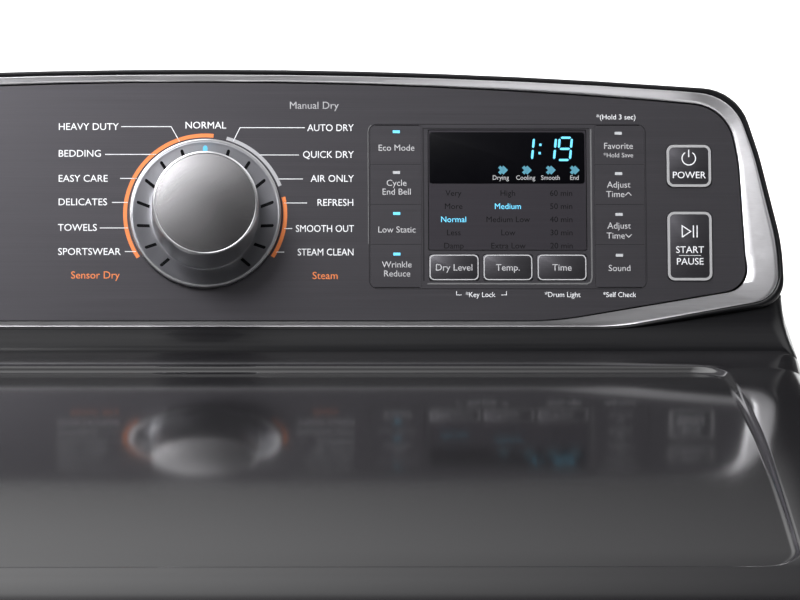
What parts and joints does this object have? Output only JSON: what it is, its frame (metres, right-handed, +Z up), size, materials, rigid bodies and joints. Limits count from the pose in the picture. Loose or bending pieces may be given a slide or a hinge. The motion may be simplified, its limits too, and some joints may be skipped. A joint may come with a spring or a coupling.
{
  "type": "clothes dryer",
  "caption": "Full-size front-loading clothes dryer in graphite metal, with a raked rear console, a lit dial, keypad and display, and a crowned top with a shallow glossy recess.",
  "frame": {"origin": "on the floor, at the centre of the machine's bounding box", "axes": "+Z up, -Y towards the front (door side), +X to the right seen from the front"},
  "size_m": [0.7, 0.747, 1.1572],
  "materials": {
    "graphite_paint": "metallic gloss",
    "housing_plastic": "gloss",
    "satin_silver": "satin metallic",
    "brushed_fascia": "brushed metallic film",
    "key_plastic": "satin",
    "lamp_plastic": "translucent",
    "display_black": "gloss",
    "black_plastic": "matte",
    "circuit_board": "matte",
    "zinc_steel": "galvanised",
    "dark_steel": "satin",
    "drum_enamel": "powder coat",
    "white_plastic": "matte",
    "felt": "felt",
    "black_rubber": "matte",
    "pulley_plastic": "matte",
    "heater_wire": "oxidised",
    "filter_mesh": "mesh",
    "smoked_glass": "smoked"
  },
  "bodies": {
    "cabinet": {"console_housing": "housing_plastic", "console_trim": "satin_silver", "console_fascia": "brushed_fascia", "dial_bezel": "satin_silver", "dial_lamps": "lamp_plastic", "dial_encoder": "black_plastic", "display_lens": "display_black", "control_board": "circuit_board", "top_panel": "graphite_paint", "side_panel_left": "graphite_paint", "side_panel_right": "graphite_paint", "rear_panel": "zinc_steel", "front_panel": "graphite_paint", "base_pan": "zinc_steel", "front_bulkhead": "zinc_steel", "rear_bulkhead": "zinc_steel", "drum_seals": "felt", "drum_belt": "black_rubber", "drive_motor": "dark_steel", "blower_housing": "white_plastic", "heater_box": "zinc_steel", "heater_coil": "heater_wire", "exhaust_duct": "zinc_steel", "lint_duct": "zinc_steel", "steam_valve": "white_plastic", "door_hinge_brackets": "dark_steel", "door_catch": "black_plastic"},
    "knob": {"dial_knob": "satin_silver"},
    "power_key_cap": {"power_key": "key_plastic"},
    "start_pause_key_cap": {"start_pause_key": "key_plastic"},
    "dry_level_key_cap": {"dry_level_key": "key_plastic"},
    "temperature_key_cap": {"temperature_key": "key_plastic"},
    "time_key_cap": {"time_key": "key_plastic"},
    "eco_key_cap": {"eco_key": "key_plastic"},
    "bell_key_cap": {"bell_key": "key_plastic"},
    "static_key_cap": {"static_key": "key_plastic"},
    "wrinkle_key_cap": {"wrinkle_key": "key_plastic"},
    "favourite_key_cap": {"favourite_key": "key_plastic"},
    "time_up_key_cap": {"time_up_key": "key_plastic"},
    "time_down_key_cap": {"time_down_key": "key_plastic"},
    "sound_key_cap": {"sound_key": "key_plastic"},
    "levelling_foot_front_left": {"foot_front_left": "black_rubber"},
    "levelling_foot_front_right": {"foot_front_right": "black_rubber"},
    "levelling_foot_rear_left": {"foot_rear_left": "black_rubber"},
    "levelling_foot_rear_right": {"foot_rear_right": "black_rubber"},
    "drum": {"drum_shell": "drum_enamel", "drum_baffles": "white_plastic"},
    "roller_left": {"drum_roller_left": "black_rubber"},
    "roller_right": {"drum_roller_right": "black_rubber"},
    "motor_rotor": {"motor_pulley": "zinc_steel", "blower_wheel": "white_plastic"},
    "tensioner": {"idler_arm": "zinc_steel"},
    "tension_wheel": {"idler_pulley": "pulley_plastic"},
    "filter": {"lint_filter": "filter_mesh"},
    "door": {"door_frame": "satin_silver", "door_glass": "smoked_glass", "door_liner": "black_plastic", "door_gasket": "black_rubber", "door_hinge_arms": "zinc_steel", "door_strike": "zinc_steel"}
  },
  "joints": [
    {"name": "dial_turn", "type": "hinge", "parent": "cabinet", "child": "knob", "pos_m": [0, 0.18066, 1.07712], "axis": [0, -0.9135, 0.4067], "continuous": true},
    {"name": "power_key_press", "type": "slide", "parent": "cabinet", "child": "power_key_cap", "axis": [0, 0.9135, -0.4067], "range_m": [0, 0.001], "stiffness_N_per_m": 1500, "springref_m": -0.0005},
    {"name": "start_pause_key_press", "type": "slide", "parent": "cabinet", "child": "start_pause_key_cap", "axis": [0, 0.9135, -0.4067], "range_m": [0, 0.001], "stiffness_N_per_m": 1500, "springref_m": -0.0005},
    {"name": "dry_level_key_press", "type": "slide", "parent": "cabinet", "child": "dry_level_key_cap", "axis": [0, 0.9135, -0.4067], "range_m": [0, 0.001], "stiffness_N_per_m": 1500, "springref_m": -0.0005},
    {"name": "temperature_key_press", "type": "slide", "parent": "cabinet", "child": "temperature_key_cap", "axis": [0, 0.9135, -0.4067], "range_m": [0, 0.001], "stiffness_N_per_m": 1500, "springref_m": -0.0005},
    {"name": "time_key_press", "type": "slide", "parent": "cabinet", "child": "time_key_cap", "axis": [0, 0.9135, -0.4067], "range_m": [0, 0.001], "stiffness_N_per_m": 1500, "springref_m": -0.0005},
    {"name": "eco_key_press", "type": "slide", "parent": "cabinet", "child": "eco_key_cap", "axis": [0, 0.9135, -0.4067], "range_m": [0, 0.001], "stiffness_N_per_m": 1500, "springref_m": -0.0005},
    {"name": "bell_key_press", "type": "slide", "parent": "cabinet", "child": "bell_key_cap", "axis": [0, 0.9135, -0.4067], "range_m": [0, 0.001], "stiffness_N_per_m": 1500, "springref_m": -0.0005},
    {"name": "static_key_press", "type": "slide", "parent": "cabinet", "child": "static_key_cap", "axis": [0, 0.9135, -0.4067], "range_m": [0, 0.001], "stiffness_N_per_m": 1500, "springref_m": -0.0005},
    {"name": "wrinkle_key_press", "type": "slide", "parent": "cabinet", "child": "wrinkle_key_cap", "axis": [0, 0.9135, -0.4067], "range_m": [0, 0.001], "stiffness_N_per_m": 1500, "springref_m": -0.0005},
    {"name": "favourite_key_press", "type": "slide", "parent": "cabinet", "child": "favourite_key_cap", "axis": [0, 0.9135, -0.4067], "range_m": [0, 0.001], "stiffness_N_per_m": 1500, "springref_m": -0.0005},
    {"name": "time_up_key_press", "type": "slide", "parent": "cabinet", "child": "time_up_key_cap", "axis": [0, 0.9135, -0.4067], "range_m": [0, 0.001], "stiffness_N_per_m": 1500, "springref_m": -0.0005},
    {"name": "time_down_key_press", "type": "slide", "parent": "cabinet", "child": "time_down_key_cap", "axis": [0, 0.9135, -0.4067], "range_m": [0, 0.001], "stiffness_N_per_m": 1500, "springref_m": -0.0005},
    {"name": "sound_key_press", "type": "slide", "parent": "cabinet", "child": "sound_key_cap", "axis": [0, 0.9135, -0.4067], "range_m": [0, 0.001], "stiffness_N_per_m": 1500, "springref_m": -0.0005},
    {"name": "foot_front_left_extend", "type": "slide", "parent": "cabinet", "child": "levelling_foot_front_left", "axis": [0, 0, -1], "range_m": [0, 0.02]},
    {"name": "foot_front_right_extend", "type": "slide", "parent": "cabinet", "child": "levelling_foot_front_right", "axis": [0, 0, -1], "range_m": [0, 0.02]},
    {"name": "foot_rear_left_extend", "type": "slide", "parent": "cabinet", "child": "levelling_foot_rear_left", "axis": [0, 0, -1], "range_m": [0, 0.02]},
    {"name": "foot_rear_right_extend", "type": "slide", "parent": "cabinet", "child": "levelling_foot_rear_right", "axis": [0, 0, -1], "range_m": [0, 0.02]},
    {"name": "drum_spin", "type": "hinge", "parent": "cabinet", "child": "drum", "pos_m": [0, 0.03, 0.6], "axis": [0, 1, 0], "continuous": true},
    {"name": "roller_left_spin", "type": "hinge", "parent": "cabinet", "child": "roller_left", "pos_m": [-0.20376, 0.272, 0.309], "axis": [0, 1, 0], "continuous": true},
    {"name": "roller_right_spin", "type": "hinge", "parent": "cabinet", "child": "roller_right", "pos_m": [0.20376, 0.272, 0.309], "axis": [0, 1, 0], "continuous": true},
    {"name": "motor_spin", "type": "hinge", "parent": "cabinet", "child": "motor_rotor", "pos_m": [0.14, 0, 0.125], "axis": [0, 1, 0], "continuous": true},
    {"name": "tensioner_swing", "type": "hinge", "parent": "cabinet", "child": "tensioner", "pos_m": [0.06, 0.11, 0.06], "axis": [0, 1, 0], "range_deg": [0, 14], "stiffness_Nm_per_rad": 2, "springref_deg": -17.19},
    {"name": "tension_wheel_spin", "type": "hinge", "parent": "tensioner", "child": "tension_wheel", "pos_m": [0.025, 0.1, 0.118], "axis": [0, 1, 0], "continuous": true},
    {"name": "filter_lift", "type": "slide", "parent": "cabinet", "child": "filter", "axis": [0, 0, 1], "range_m": [0, 0.19]},
    {"name": "door_swing", "type": "hinge", "parent": "cabinet", "child": "door", "pos_m": [0.268, -0.334, 0.6], "axis": [0, 0, 1], "range_deg": [0, 160]}
  ],
  "couplings": [
    {"joint": "motor_spin", "follows": "drum_spin", "ratio": 24.158},
    {"joint": "tension_wheel_spin", "follows": "drum_spin", "ratio": 12.217},
    {"joint": "roller_left_spin", "follows": "drum_spin", "ratio": -9.1429},
    {"joint": "roller_right_spin", "follows": "drum_spin", "ratio": -9.1429}
  ]
}
